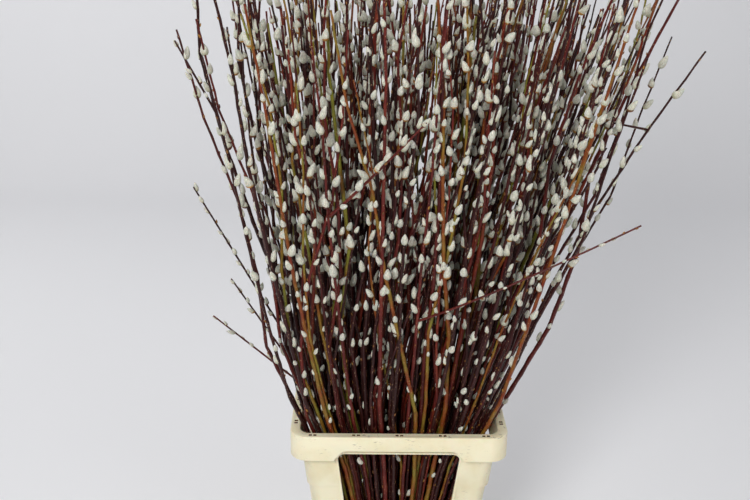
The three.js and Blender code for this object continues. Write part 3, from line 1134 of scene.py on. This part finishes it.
@dataclass
class WillowLot:
    """The whole lot of stems: how their feet stand and how the fan opens, in millimetres.

    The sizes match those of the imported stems, which take every second place of the grid. Those
    from inner_bow to weave_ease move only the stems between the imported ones: inside the
    container these bow a little, and above it each one strays its own way and weaves slowly.
    The outer ones stray less, are pushed out at the sides by edge_push, and are drawn in at the
    front and back by tuck. Some are rogues, which cross over towards the other side.
    """

    columns: int = 15
    rows: int = 13
    stride: int = 2
    rim: float = 385
    foot_half: tuple[float, float] = (76, 64)
    pass_half: tuple[float, float] = (165, 124)
    fan_power: float = 1.9
    fan_slope: float = 0.2
    fan_ease: float = 80
    fan_height: float = 700
    bunch_lean: float = 55
    row_sway: float = 36
    column_sway: float = 20
    stem_sway: float = 16
    row_stagger: float = 0.06
    column_stagger: float = 0.04
    row_wave: float = 20
    column_wave: float = 10
    shortest_wave: float = 520
    longest_wave: float = 820
    inner_bow: float = 7
    stray: float = 95
    stray_ease: float = 0.7
    stray_deep: float = 8
    edge_push: float = 24
    tuck: float = 20
    rogue_share: float = 0.16
    rogue_stray: float = 200
    least_rogue: float = 0.5
    weave: float = 4
    weave_flatness: float = 0.5
    shortest_weave: float = 280
    longest_weave: float = 560
    weave_ease: float = 120
    foot_height: float = 4.6
    internode: float = 140
    crook: float = 3
    shortest: float = 1010
    longest: float = 1225
    foot_radius: float = 4.7
    tip_radius: float = 1.3
    packed_variety: float = 0.12
    other_variety: float = 0.24
    slim_share: float = 0.76
    lean_ease: float = 120
    shoots: tuple[SideShoot, ...] = (
        SideShoot(0, 0, 960, (-57, -12, 112)),
        SideShoot(0, 2, 565, (-141, 0, 251)),
        SideShoot(0, 4, 475, (-103, 0, 160)),
        SideShoot(0, 6, 400, (-172, 0, 146)),
        SideShoot(8, 0, 610, (337, -62, 187), -30, 0.4),
        SideShoot(4, 0, 800, (145, -62, 163), -26, 1.4, 1.02, 2.7),
        SideShoot(14, 2, 930, (-74, -30, 19)),
        SideShoot(14, 8, 700, (92, 6, 150)),
        SideShoot(14, 12, 560, (86, 70, 170)),
        SideShoot(2, 12, 620, (-88, 96, 190), 24),
        SideShoot(10, 12, 820, (38, 84, 150)),
    )
    leans: tuple[Lean, ...] = (
        Lean(14, 2, 600, 0.29, 1056),
        Lean(14, 10, 560, 0.18, 1150),
        Lean(0, 10, 600, -0.16, 1130),
    )

    def spread(self, height: float, axis: int) -> float:
        """Finds the bunch's half-width at a height.

        Args:
            height: The height.
            axis: 0 for x or 1 for y.

        Returns:
            The half-width.
        """
        foot, rim_pass = self.foot_half[axis], self.pass_half[axis]
        if height < self.rim:
            return foot + (rim_pass - foot) * (height / self.rim) ** self.fan_power
        above = height - self.rim
        slope_at_rim = self.fan_power * (rim_pass - foot) / self.rim
        bulge = (slope_at_rim - self.fan_slope) * self.fan_ease * (1 - math.exp(-above / self.fan_ease))
        return rim_pass + self.fan_slope * above + bulge

    def sway_share(self, height: float) -> float:
        """Finds how much of a sway shows at a height: none up to the rim.

        Args:
            height: The height.

        Returns:
            The share.
        """
        return max(0.0, height - self.rim) / self.fan_height

    def wave_at(self, height: float, thing: float, trait: int) -> float:
        """Finds the slow wave above the rim that a row or column of stems shares.

        Args:
            height: The height.
            thing: The number of the row or column.
            trait: The number of the trait.

        Returns:
            A share of the wave's size, from -1 to 1.
        """
        above = max(0.0, height - self.rim)
        length = blend(self.shortest_wave, self.longest_wave, chance(thing, trait))
        return vary(thing, trait + 1) * math.sin(2 * math.pi * above / length)

    def lean_at(self, height: float, lean: Lean) -> float:
        """Finds how far a leaning stem strays from the fan at a height.

        Args:
            height: The height.
            lean: The stem's lean.

        Returns:
            The distance in x.
        """
        above = max(0.0, height - lean.start)
        return lean.slope * above**2 / (above + self.lean_ease)


def staggered(place: float, shift: float) -> float:
    """Shifts a place in the grid, and keeps the ends within their limits.

    Args:
        place: The place, from -1 to 1.
        shift: How far to shift it.

    Returns:
        The shifted place.
    """
    return place * (1 - abs(shift)) + shift


@dataclass
class StemLine:
    """The centre line of one stem of the lot, by its place in the grid, in millimetres.

    Places half-way between the grid's own rows and columns belong to slimmer stems.
    """

    lot: WillowLot
    column: float
    row: float

    @property
    def between_rows(self) -> bool:
        """Whether the stem stands half-way between two rows."""
        return self.row % 1 > 0

    @property
    def packed(self) -> bool:
        """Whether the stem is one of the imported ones."""
        return self.row % self.lot.stride == 0 and self.column % self.lot.stride == 0

    @property
    def across(self) -> float:
        """The place of the stem's column, from -1 at the left to 1 at the right."""
        return 2 * self.column / (self.lot.columns - 1) - 1

    @property
    def deep(self) -> float:
        """The place of the stem's row, from -1 at the front to 1 at the back."""
        return 2 * self.row / (self.lot.rows - 1) - 1

    @property
    def seed(self) -> int:
        """The stem's own number."""
        place = round(self.row * self.lot.columns + self.column)
        return place + HALF_ROW_SEED if self.between_rows else place

    @cached_property
    def lean(self) -> Lean | None:
        """The stem's own lean, if it has one."""
        place = (self.column, self.row)
        return next((lean for lean in self.lot.leans if (lean.column, lean.row) == place), None)

    @property
    def top(self) -> float:
        """The height of the stem's tip."""
        if self.lean:
            return self.lean.top
        return blend(self.lot.shortest, self.lot.longest, chance(self.seed, Trait.TOP))

    def course(self, height: float) -> Vector:
        """Finds the smooth path of the stem, without its crooks.

        Args:
            height: The height.

        Returns:
            The point on the path.
        """
        lot = self.lot
        across = staggered(self.across, lot.row_stagger * vary(self.row, Trait.ROW_STAGGER))
        deep = staggered(self.deep, lot.column_stagger * vary(self.column, Trait.COLUMN_STAGGER))
        sway_x = lot.bunch_lean + lot.row_sway * vary(self.row, Trait.ROW_SWAY)
        sway_x += lot.stem_sway * vary(self.seed, Trait.SWAY_X)
        sway_y = lot.column_sway * vary(self.column, Trait.COLUMN_SWAY)
        sway_y += lot.stem_sway * vary(self.seed, Trait.SWAY_Y)
        wave_x = lot.row_wave * lot.wave_at(height, self.row, Trait.ROW_WAVE)
        wave_y = lot.column_wave * lot.wave_at(height, self.column, Trait.COLUMN_WAVE)
        share = lot.sway_share(height)
        x = across * lot.spread(height, 0) + sway_x * share + wave_x
        y = deep * lot.spread(height, 1) + sway_y * share + wave_y
        if self.lean:
            x += lot.lean_at(height, self.lean)
        return Vector((x, y, height)) + self.weave(height)

    def weave(self, height: float) -> Vector:
        """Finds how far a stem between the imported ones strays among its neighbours.

        Args:
            height: The height.

        Returns:
            The shift, level with the ground.
        """
        lot = self.lot
        if self.packed:
            return Vector((0, 0, 0))
        if height < lot.rim:
            bow = lot.inner_bow * math.sin(math.pi * height / lot.rim)
            bow_x = bow * vary(self.seed, Trait.INNER_BOW_X)
            return Vector((bow_x, bow * vary(self.seed, Trait.INNER_BOW_Y), 0))
        above = height - lot.rim
        size = lot.weave * min(1.0, above / lot.weave_ease)
        length = blend(lot.shortest_weave, lot.longest_weave, chance(self.seed, Trait.WEAVE_LENGTH))
        turn = 2 * math.pi * above / length
        stray_x = lot.stray * vary(self.seed, Trait.STRAY_X) * (1 - lot.stray_ease * abs(self.across))
        stray_x += lot.edge_push * self.across**3
        if chance(self.seed, Trait.ROGUE) < lot.rogue_share:
            reach = blend(lot.least_rogue, 1.0, chance(self.seed, Trait.ROGUE_REACH))
            stray_x = -math.copysign(lot.rogue_stray, self.across) * reach
        stray_y = lot.stray_deep * vary(self.seed, Trait.STRAY_Y) - lot.tuck * self.deep**3
        weave_x = size * math.sin(turn + math.pi * vary(self.seed, Trait.WEAVE_X))
        weave_y = lot.weave_flatness * size * math.sin(turn + math.pi * vary(self.seed, Trait.WEAVE_Y))
        share = lot.sway_share(height)
        return Vector((weave_x + stray_x * share, weave_y + stray_y * share, 0))

    @cached_property
    def knots(self) -> list[Vector]:
        """The bends of the stem, from the foot to the tip."""
        foot = self.lot.foot_height
        count = round((self.top - foot) / self.lot.internode)
        points = []
        for i in range(count + 1):
            point = self.course(blend(foot, self.top, i / count))
            crook = 0 if point.z < self.lot.rim else self.lot.crook
            point.x += crook * vary(self.seed, Trait.CROOK_X + i)
            point.y += crook * vary(self.seed, Trait.CROOK_Y + i)
            points.append(point)
        return points

    def radius_at(self, height: float) -> float:
        """Finds the rod's radius at a height.

        Args:
            height: The height.

        Returns:
            The radius.
        """
        lot = self.lot
        variety = lot.packed_variety if self.packed else lot.other_variety
        thickness = 1 + variety * vary(self.seed, Trait.THICKNESS)
        slim = lot.slim_share if self.between_rows else 1.0
        return slim * thickness * blend(lot.foot_radius, lot.tip_radius, height / self.top)


@dataclass(frozen=True)
class Node:
    """A place on a rod where a bud or catkin sits."""

    point: Vector
    direction: Vector
    outward: Vector
    radius: float
    height: float


@dataclass
class CatkinShapes:
    """The small shapes that stems carry: catkins, bud scales and buds.

    Each one is a spindle. Its fullness goes from the foot's to the tip's, and its point is how
    much the tip is drawn in. The scale's sizes are shares of the catkin's.
    """

    fullness: tuple[float, float] = (1.28, 0.72)
    catkin_length: float = 23.5 * MM
    catkin_width: float = 11.6 * MM
    catkin_point: float = 0.3
    catkin_sides: int = 8
    catkin_rings: int = 7
    scale_width: float = 1.12
    scale_height: float = 0.2
    scale_slant: float = 0.45
    bud_length: float = 5.5 * MM
    bud_width: float = 2.6 * MM
    bud_point: float = 0.6
    bud_sides: int = 5
    bud_rings: int = 4

    def make_spindle(self, length: float, width: float, sides: int, rings: int, point: float) -> BMesh:
        """Makes a closed spindle that stands on the origin, fuller below than above.

        Args:
            length: Its length.
            width: Its greatest width.
            sides: The number of its sides.
            rings: The number of its bands.
            point: How much its tip is drawn in, from 0 to 1.

        Returns:
            The spindle, with its height fraction stored on each vertex.
        """
        shape = bmesh.new()
        along = shape.verts.layers.float.new(ALONG)
        shape.verts.layers.float.new(TONE)
        bmesh.ops.create_uvsphere(shape, u_segments=sides, v_segments=rings, radius=1)
        for vert in shape.verts:
            share = (vert.co.z + 1) / 2
            radius = blend(*self.fullness, share) * (1 - point * share**3) * width / 2
            vert.co.x *= radius
            vert.co.y *= radius
            vert.co.z = share * length
            vert[along] = share
        return shape

    def as_mesh(self, shape: BMesh, cover: Cover) -> bpy.types.Mesh:
        """Stores a small shape so that stems can copy it.

        Args:
            shape: The shape. It is freed.
            cover: Its finish.

        Returns:
            The mesh.
        """
        for face in shape.faces:
            face.material_index = cover.value
            face.smooth = True
        mesh = bpy.data.meshes.new(f"{cover.name.lower()}_shape")
        shape.to_mesh(mesh)
        shape.free()
        return mesh

    @cached_property
    def catkin(self) -> bpy.types.Mesh:
        """A full catkin."""
        shape = self.make_spindle(
            self.catkin_length, self.catkin_width, self.catkin_sides, self.catkin_rings, self.catkin_point
        )
        return self.as_mesh(shape, Cover.FUR)

    @cached_property
    def scale(self) -> bpy.types.Mesh:
        """The bud scale that stays at a catkin's root: the lower part of a fuller spindle."""
        width = self.scale_width * self.catkin_width
        shape = self.make_spindle(
            self.catkin_length, width, self.catkin_sides, self.catkin_rings, self.catkin_point
        )
        cut = bmesh.ops.bisect_plane(
            shape,
            geom=shape.verts[:] + shape.edges[:] + shape.faces[:],
            plane_co=(0, 0, self.scale_height * self.catkin_length),
            plane_no=(self.scale_slant, 0, 1),
            clear_outer=True,
        )
        rim = [edge for edge in cut["geom_cut"] if isinstance(edge, BMEdge)]
        bmesh.ops.contextual_create(shape, geom=rim)
        return self.as_mesh(shape, Cover.SCALE)

    @cached_property
    def bud(self) -> bpy.types.Mesh:
        """A closed winter bud, flat against the rod."""
        shape = self.make_spindle(
            self.bud_length, self.bud_width, self.bud_sides, self.bud_rings, self.bud_point
        )
        return self.as_mesh(shape, Cover.SCALE)


@dataclass
class WillowStem:
    """One willow stem: its rod, side shoots, catkins and buds, as one grown piece.

    Lengths and heights are in millimetres, tilts in radians, and the rest are shares or counts.
    A pair holds the ends of a range, and slimness goes from the foot to the tip. A seat is where
    a catkin or bud is rooted, as a share of the rod's radius. Shades run from dark red-brown to
    olive.
    """

    line: StemLine
    shapes: CatkinShapes
    sides: int = 7
    shoot_sides: int = 6
    node_spacing: float = 29
    spacing_range: tuple[float, float] = (0.85, 1.2)
    shoot_spacing: float = 21
    elbow_share: float = 0.3
    cut_tips: float = 0.25
    slimness: tuple[float, float] = (0.78, 1.22)
    node_swelling: float = 0.15
    zigzag: float = 0.5
    first_bud: float = 200
    first_catkin: float = 340
    full_catkins: float = 690
    early_catkins: float = 0.17
    bare_tip: float = 45
    tip_catkins: float = 0.15
    catkin_share: float = 0.6
    catkin_sizes: tuple[float, float] = (0.6, 1.08)
    unripe_size: float = 0.62
    catkin_tilts: tuple[float, float] = (0.2, 0.55)
    catkin_seat: float = 0.75
    plumpness: tuple[float, float] = (0.86, 1.14)
    stretch: tuple[float, float] = (0.85, 1.15)
    scale_share: float = 0.28
    bud_share: float = 0.7
    bud_sizes: tuple[float, float] = (0.8, 1.5)
    bud_seat: float = 0.8
    bud_along: float = 0.9
    bud_outward: float = 0.35
    dark_bias: float = 2.3
    branched_shade: float = 0.42

    def polyline(self, points: list[Vector], spacing: float) -> list[Vector]:
        """Divides a line of bends into short steps.

        Args:
            points: The bends, in millimetres.
            spacing: The longest step.

        Returns:
            The points of the finer line.
        """
        fine = [points[0]]
        for start, end in zip(points, points[1:], strict=False):
            steps = max(1, round((end - start).length / spacing))
            fine += [start.lerp(end, (i + 1) / steps) for i in range(steps)]
        return fine

    def add_rod(
        self, shape: BMesh, points: list[Vector], radii: list[float], sides: int, cut_tip: bool
    ) -> None:
        """Adds a tapered rod along a line, with small swellings where its buds sit.

        Args:
            shape: The stem's mesh, in metres.
            points: The line, in millimetres. Every second point is a node.
            radii: The radius at each point.
            sides: The number of the rod's sides.
            cut_tip: Whether the tip is a cut end that shows wood.
        """
        along = shape.verts.layers.float[ALONG]
        ring = bmesh.ops.create_circle(shape, segments=sides, radius=1, cap_ends=True)["verts"]
        foot = ring[0].link_faces[0]
        edges = list(foot.edges)
        walls = []
        placed = Matrix.Identity(4)
        for i, (point, radius) in enumerate(zip(points, radii, strict=True)):
            if i:
                ring, edges = push_ring(shape, edges)
                walls += {face for edge in edges for face in edge.link_faces}
            before = points[max(i - 1, 0)]
            after = points[min(i + 1, len(points) - 1)]
            turn = Vector((0, 0, 1)).rotation_difference(after - before).to_matrix().to_4x4()
            size = radius * MM * (1 + (self.node_swelling if i % 2 else 0))
            place = Matrix.Translation(point * MM) @ turn @ Matrix.Scale(size, 4)
            bmesh.ops.transform(shape, matrix=place @ placed.inverted(), verts=ring)
            placed = place
            for vert in ring:
                vert[along] = i / (len(points) - 1)
        tip = bmesh.ops.contextual_create(shape, geom=edges)["faces"]
        bmesh.ops.recalc_face_normals(shape, faces=[foot, *walls, *tip])
        for face in walls:
            face.material_index = Cover.BARK.value
        foot.material_index = Cover.WOOD.value
        for face in tip:
            face.material_index = (Cover.WOOD if cut_tip else Cover.BARK).value

    def add_copy(self, shape: BMesh, template: bpy.types.Mesh, place: Matrix) -> None:
        """Adds a copy of a small shape.

        Args:
            shape: The stem's mesh.
            template: The small shape.
            place: Where the copy goes.
        """
        count = len(shape.verts)
        shape.from_mesh(template)
        shape.verts.ensure_lookup_table()
        bmesh.ops.transform(shape, matrix=place, verts=shape.verts[count:])

    def nodes(self, points: list[Vector], radii: list[float], seed: int) -> list[Node]:
        """Finds the nodes of a rod: every second point, turned by the golden angle.

        Args:
            points: The rod's line.
            radii: Its radii.
            seed: A number that sets the turn of the first node.

        Returns:
            The nodes.
        """
        found = []
        for i in range(1, len(points) - 1, 2):
            direction = (points[i + 1] - points[i - 1]).normalized()
            angle = i / 2 * GOLDEN_ANGLE + 2 * math.pi * chance(seed, Trait.FIRST_TURN)
            side = Vector((math.cos(angle), math.sin(angle), 0))
            outward = (side - direction * side.dot(direction)).normalized()
            found.append(Node(points[i], direction, outward, radii[i], points[i].z))
        return found

    def add_catkin(self, shape: BMesh, node: Node, size: float, tilt: float, seed: int) -> None:
        """Adds a catkin, and on most of them the scale of its bud.

        Args:
            shape: The stem's mesh.
            node: Where it grows.
            size: Its size, where 1 is full grown.
            tilt: How far it leans out from the rod, in radians.
            seed: A number for this catkin.
        """
        heading = node.direction * math.cos(tilt) + node.outward * math.sin(tilt)
        aside = heading.cross(node.outward).normalized()
        inward = aside.cross(heading)
        turn = Matrix((-inward, aside, heading)).transposed().to_4x4()
        root = (node.point + node.outward * self.catkin_seat * node.radius) * MM
        width = size * blend(*self.plumpness, chance(seed, Trait.PLUMPNESS))
        length = size * blend(*self.stretch, chance(seed, Trait.STRETCH))
        place = Matrix.Translation(root) @ turn @ Matrix.Diagonal((width, width, length, 1))
        self.add_copy(shape, self.shapes.catkin, place)
        if chance(seed, Trait.SCALE) < self.scale_share:
            self.add_copy(shape, self.shapes.scale, place)

    def ripeness(self, height: float) -> float:
        """Finds how far the buds have opened at a height.

        Args:
            height: The height.

        Returns:
            A share: low at the rim and the tip, and 1 well above the rim.
        """
        rise = (height - self.first_catkin) / (self.full_catkins - self.first_catkin)
        if height > self.line.top - self.bare_tip:
            return self.tip_catkins
        return blend(self.early_catkins, 1.0, min(1.0, max(0.0, rise)))

    def dress(
        self,
        shape: BMesh,
        nodes: list[Node],
        seed: int,
        ripeness: Callable[[float], float],
        full_size: float = 1.0,
    ) -> int:
        """Adds the catkins and buds of a rod.

        Args:
            shape: The stem's mesh.
            nodes: The rod's nodes.
            seed: A number for this rod.
            ripeness: Gives how far the buds have opened at a height.
            full_size: The size of its ripest catkins, where 1 is full grown.

        Returns:
            The number of catkins.
        """
        catkins = 0
        for i, node in enumerate(nodes):
            ripe = ripeness(node.height)
            number = SEED_STEP * seed + i
            if chance(number, Trait.CATKIN) < self.catkin_share * ripe:
                size = full_size * blend(*self.catkin_sizes, chance(number, Trait.CATKIN_SIZE))
                size *= blend(self.unripe_size, 1.0, min(1.0, ripe))
                tilt = blend(*self.catkin_tilts, chance(number, Trait.CATKIN_TILT))
                self.add_catkin(shape, node, size, tilt, number)
                catkins += 1
            elif chance(number, Trait.BUD) < self.bud_share:
                heading = (node.direction * self.bud_along + node.outward * self.bud_outward).normalized()
                turn = Vector((0, 0, 1)).rotation_difference(heading).to_matrix().to_4x4()
                root = (node.point + node.outward * self.bud_seat * node.radius) * MM
                size = Matrix.Scale(blend(*self.bud_sizes, chance(number, Trait.BUD_SIZE)), 4)
                self.add_copy(shape, self.shapes.bud, Matrix.Translation(root) @ turn @ size)
        return catkins

    def side_shoots(self) -> list[SideShoot]:
        """Lists the side shoots that grow from this stem."""
        return [s for s in self.line.lot.shoots if (s.column, s.row) == (self.line.column, self.line.row)]

    def point_at(self, height: float) -> Vector:
        """Finds the point at a height on the stem's line of bends.

        Args:
            height: The height.

        Returns:
            The point.
        """
        knots = self.line.knots
        above = next(i for i, knot in enumerate(knots) if i and knot.z >= height)
        low, high = knots[above - 1], knots[above]
        return low.lerp(high, (height - low.z) / (high.z - low.z))

    def shoot_points(self, shoot: SideShoot) -> list[Vector]:
        """Finds the line of a side shoot, bowed on its way to the tip.

        Args:
            shoot: The side shoot.

        Returns:
            The points of the line.
        """
        start = self.point_at(shoot.height)
        tip = start + Vector(shoot.tip)
        early = self.elbow_share
        elbow = start.lerp(tip, early) + Vector((0, shoot.bow, 0))
        steps = 2 * max(2, round((tip - start).length / self.shoot_spacing))
        # These shares of the curve give even steps from the start to the tip.
        late = 1 - 2 * early
        shares = [(math.sqrt(early**2 + late * i / steps) - early) / late for i in range(steps + 1)]
        return [start * (1 - t) ** 2 + elbow * 2 * t * (1 - t) + tip * t**2 for t in shares]

    def make_shape(self) -> tuple[BMesh, int]:
        """Makes the stem's mesh.

        Returns:
            The mesh, in metres, and the number of the stem's catkins.
        """
        line = self.line
        shape = bmesh.new()
        shape.verts.layers.float.new(ALONG)
        tone = shape.verts.layers.float.new(TONE)
        spacing = self.node_spacing * blend(*self.spacing_range, chance(line.seed, Trait.NODE_SPACING)) / 2
        points = self.polyline(line.knots, spacing)
        radii = [blend(*self.slimness, point.z / line.top) * line.radius_at(point.z) for point in points]
        for i, node in enumerate(self.nodes(points, radii, line.seed)):
            points[2 * i + 1] = node.point - node.outward * self.zigzag
        cut_tip = chance(line.seed, Trait.CUT_TIP) < self.cut_tips
        self.add_rod(shape, points, radii, self.sides, cut_tip)
        nodes = [node for node in self.nodes(points, radii, line.seed) if node.height > self.first_bud]
        catkins = self.dress(shape, nodes, line.seed, self.ripeness)
        for number, shoot in enumerate(self.side_shoots()):
            course = self.shoot_points(shoot)
            last = len(course) - 1
            slim = [blend(shoot.radius, line.lot.tip_radius, i / last) for i in range(last + 1)]
            self.add_rod(shape, course, slim, self.shoot_sides, cut_tip=True)
            seed = line.seed + SHOOT_SEED + number
            nodes = self.nodes(course, slim, seed)[1:]
            catkins += self.dress(
                shape, nodes, seed, lambda height, share=shoot.catkins: share, shoot.catkin_size
            )
        shade = chance(line.seed, Trait.SHADE) ** self.dark_bias
        if self.side_shoots():
            shade = min(shade, self.branched_shade)
        for vert in shape.verts:
            vert[tone] = shade
        for face in shape.faces:
            face.smooth = True
        return shape, catkins


@dataclass
class WillowBunch:
    """All the stems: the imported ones, and those that stand between them."""

    lot: WillowLot = field(default_factory=WillowLot)
    shapes: CatkinShapes = field(default_factory=CatkinShapes)

    @cached_property
    def materials(self) -> list[bpy.types.Material]:
        """The stems' materials, in the order of Cover."""
        return [
            WillowBark().material(),
            CatkinFur().material(),
            BudScale().material(),
            CutWillowWood().material(),
        ]

    def stem_at(self, column: float, row: float) -> WillowStem:
        """Describes the stem at a place.

        Args:
            column: The place's column.
            row: The place's row.

        Returns:
            The stem.
        """
        return WillowStem(StemLine(self.lot, column, row), self.shapes)

    def build_piece(self, name: str, stems: list[WillowStem], node: str | None = None) -> None:
        """Makes one piece of one or more stems, and reports it.

        Args:
            name: The piece's name.
            stems: Its stems.
            node: The CAD node that it stands for, if any.
        """
        joined = bmesh.new()
        catkins = 0
        for stem in stems:
            shape, count = stem.make_shape()
            mesh = bpy.data.meshes.new("stem")
            shape.to_mesh(mesh)
            shape.free()
            joined.from_mesh(mesh)
            bpy.data.meshes.remove(mesh)
            catkins += count
        faces = len(joined.faces)
        finish_piece(name, joined, self.materials, node)
        log.info("%s: %d stems, %d faces, %d catkins", name, len(stems), faces, catkins)

    def build(self) -> None:
        """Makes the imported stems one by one, and the stems between them row by row."""
        packed = 0
        for step in range(2 * self.lot.rows - 1):
            between = []
            for column in range(self.lot.columns - step % 2):
                stem = self.stem_at(column + step % 2 / 2, step / 2)
                if stem.line.packed:
                    packed += 1
                    node = f"stem_{packed:02d}"
                    self.build_piece(f"willow_{node}", [stem], node)
                else:
                    between.append(stem)
            self.build_piece(f"willow_stems_between_{step + 1:02d}", between)


# ---- Studio ----


@dataclass(frozen=True)
class SoftLight:
    """A soft square light: its place, the point it faces, its side and its power in watts."""

    name: str
    place: tuple[float, float, float]
    aim: tuple[float, float, float]
    side: float
    power: float


@dataclass
class Studio:
    """The pale sweep, the soft lights and the camera. Its turns are in degrees."""

    sweep_colour: str = "#f0f0f2"
    sweep_half_width: float = 8.0
    sweep_front: float = 7.0
    sweep_back: float = 2.6
    sweep_radius: float = 0.9
    sweep_height: float = 5.0
    sweep_steps: int = 16
    lights: tuple[SoftLight, ...] = (
        SoftLight("key_light", (-0.8, -2.6, 2.1), (0, 0, 0.7), 0.8, 65),
        SoftLight("fill_light", (1.8, -1.9, 1.2), (0, 0, 0.7), 1.2, 12),
        SoftLight("top_light", (0.2, 0.3, 3.0), (0, 0, 0.7), 1.6, 5),
        SoftLight("left_wall_light", (-2.6, 0.8, 2.2), (0, 3.5, 1.2), 1.5, 38),
        SoftLight("right_wall_light", (2.6, 0.8, 2.2), (0, 3.5, 1.2), 1.5, 18),
        SoftLight("floor_light", (-0.2, 0.7, 1.9), (-0.2, 1.0, 0), 1.0, 2.5),
    )
    world_colour: str = "#e9eaee"
    world_light: float = 0.2
    focal_length: float = 52.8
    camera_place: tuple[float, float, float] = (-0.064, -1.839, 1.298)
    camera_pitch: float = 18.7
    camera_yaw: float = 0.6
    camera_roll: float = 0.7

    def sweep_finish(self) -> bpy.types.Material:
        """Builds the matt painted sweep, with the faintest clouding.

        Returns:
            The material.
        """
        material, tree = new_material("matt_studio_paint")
        place = add_node(tree, "ShaderNodeTexCoord").outputs["Object"]
        clouds = add_node(
            tree, "ShaderNodeTexNoise", {"Vector": place, "Scale": 1.5, "Detail": 2.0}
        ).outputs[0]
        roughness = add_node(
            tree, "ShaderNodeMapRange", {"Value": clouds, "To Min": 0.85, "To Max": 0.95}
        ).outputs[0]
        shader = add_node(
            tree,
            "ShaderNodeBsdfPrincipled",
            {"Base Color": linear(self.sweep_colour), "Roughness": roughness},
        )
        add_node(tree, "ShaderNodeOutputMaterial", {"Surface": shader.outputs[0]})
        return material

    def make_sweep(self) -> bpy.types.Object:
        """Makes the floor that curves up into a backdrop.

        Returns:
            The sweep.
        """
        shape = bmesh.new()
        points = [Vector((0, -self.sweep_front, 0)), Vector((0, self.sweep_back, 0))]
        for i in range(1, self.sweep_steps + 1):
            angle = i / self.sweep_steps * math.pi / 2
            rise = Vector((0, math.sin(angle), 1 - math.cos(angle))) * self.sweep_radius
            points.append(points[1] + rise)
        points.append(points[-1] + Vector((0, 0, self.sweep_height)))
        verts = [shape.verts.new(p - Vector((self.sweep_half_width, 0, 0))) for p in points]
        edges = [shape.edges.new(pair) for pair in zip(verts, verts[1:], strict=False)]
        pushed = bmesh.ops.extrude_edge_only(shape, edges=edges)["geom"]
        moved = [item for item in pushed if isinstance(item, BMVert)]
        bmesh.ops.translate(shape, verts=moved, vec=(2 * self.sweep_half_width, 0, 0))
        for face in shape.faces:
            face.smooth = True
        mesh = bpy.data.meshes.new("studio_sweep")
        shape.to_mesh(mesh)
        shape.free()
        mesh.materials.append(self.sweep_finish())
        sweep = bpy.data.objects.new("studio_sweep", mesh)
        bpy.context.scene.collection.objects.link(sweep)
        return sweep

    def add_light(self, light: SoftLight) -> None:
        """Adds a light.

        Args:
            light: The light.
        """
        lamp = bpy.data.lights.new(light.name, "AREA")
        lamp.shape = "SQUARE"
        lamp.size = light.side
        lamp.energy = light.power
        holder = bpy.data.objects.new(light.name, lamp)
        holder.location = light.place
        heading = Vector(light.aim) - Vector(light.place)
        holder.rotation_euler = heading.to_track_quat("-Z", "Y").to_euler()
        bpy.context.scene.collection.objects.link(holder)

    def add_camera(self) -> None:
        """Adds the camera, looking down on the bunch from the front."""
        lens = bpy.data.cameras.new("camera")
        lens.lens = self.focal_length
        lens.sensor_width = 36.0
        camera = bpy.data.objects.new("camera", lens)
        turn = Euler((math.radians(90 - self.camera_pitch), 0, math.radians(-self.camera_yaw)))
        roll = Matrix.Rotation(math.radians(self.camera_roll), 4, "Z")
        camera.matrix_world = Matrix.Translation(self.camera_place) @ turn.to_matrix().to_4x4() @ roll
        bpy.context.scene.collection.objects.link(camera)
        bpy.context.scene.camera = camera

    def build(self) -> None:
        """Sets up the whole studio."""
        self.make_sweep()
        self.add_camera()
        for light in self.lights:
            self.add_light(light)
        world = bpy.data.worlds.new("studio_air")
        world.use_nodes = True
        background = world.node_tree.nodes["Background"]
        background.inputs["Color"].default_value = linear(self.world_colour)
        background.inputs["Strength"].default_value = self.world_light
        bpy.context.scene.world = world
        bpy.context.scene.view_settings.view_transform = "Standard"
        log.info("studio: sweep, %d lights and the camera", len(self.lights))


def main() -> None:
    """Builds the object and the studio, and reports each piece."""
    logging.basicConfig(level=logging.INFO, format="%(name)s %(message)s")
    for part in (FlowerContainer(), WillowBunch(), Studio()):
        part.build()
        log.info("%s is done", type(part).__name__)


if __name__ == "__main__":
    main()
